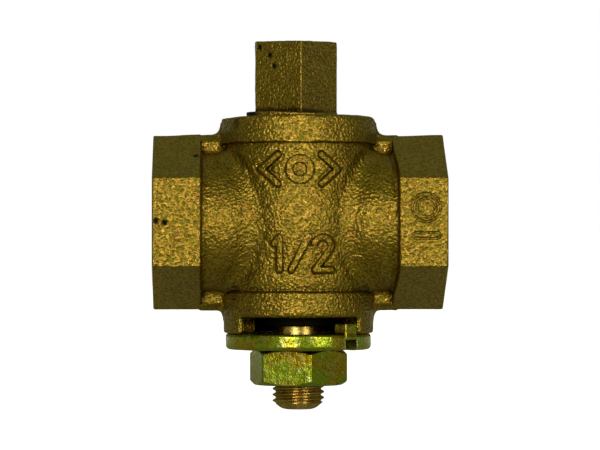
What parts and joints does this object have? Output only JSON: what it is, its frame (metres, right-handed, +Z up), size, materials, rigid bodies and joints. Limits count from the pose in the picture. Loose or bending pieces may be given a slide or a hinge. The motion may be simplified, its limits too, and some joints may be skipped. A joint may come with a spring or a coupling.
{
  "type": "gas plug valve",
  "caption": "Quarter-turn gas plug valve with hexagon female pipe ends, a square-headed tapered plug, a lugged stop washer and a jam nut.",
  "frame": {"origin": "where the pipe axis crosses the plug axis, within half a millimetre of the middle of the bounding box", "axes": "+X along the pipe towards the outlet thread, +Z up the plug towards the square head, +Y away from the side with the stop notch; the valve stands open"},
  "size_m": [0.0528, 0.0284, 0.0669],
  "materials": {
    "body": "sand-cast bronze, rough and grainy, with turned faces at the collar top and the pipe ends",
    "plug": "cast bronze head, turned taper and rolled stud thread",
    "stop_washer": "stamped steel with yellow zinc plating, rough broken zone on the lower part of the edge",
    "jam_nut": "yellow zinc plated steel with a green and amber sheen"
  },
  "bodies": {
    "valve_body": {"body": "body"},
    "key": {"plug": "plug", "stop_washer": "stop_washer", "jam_nut": "jam_nut"}
  },
  "joints": [
    {"name": "plug_turn", "type": "hinge", "parent": "valve_body", "child": "key", "pos_m": [0, 0, 0], "axis": [0, 0, 1], "range_deg": [-90, 0]}
  ]
}
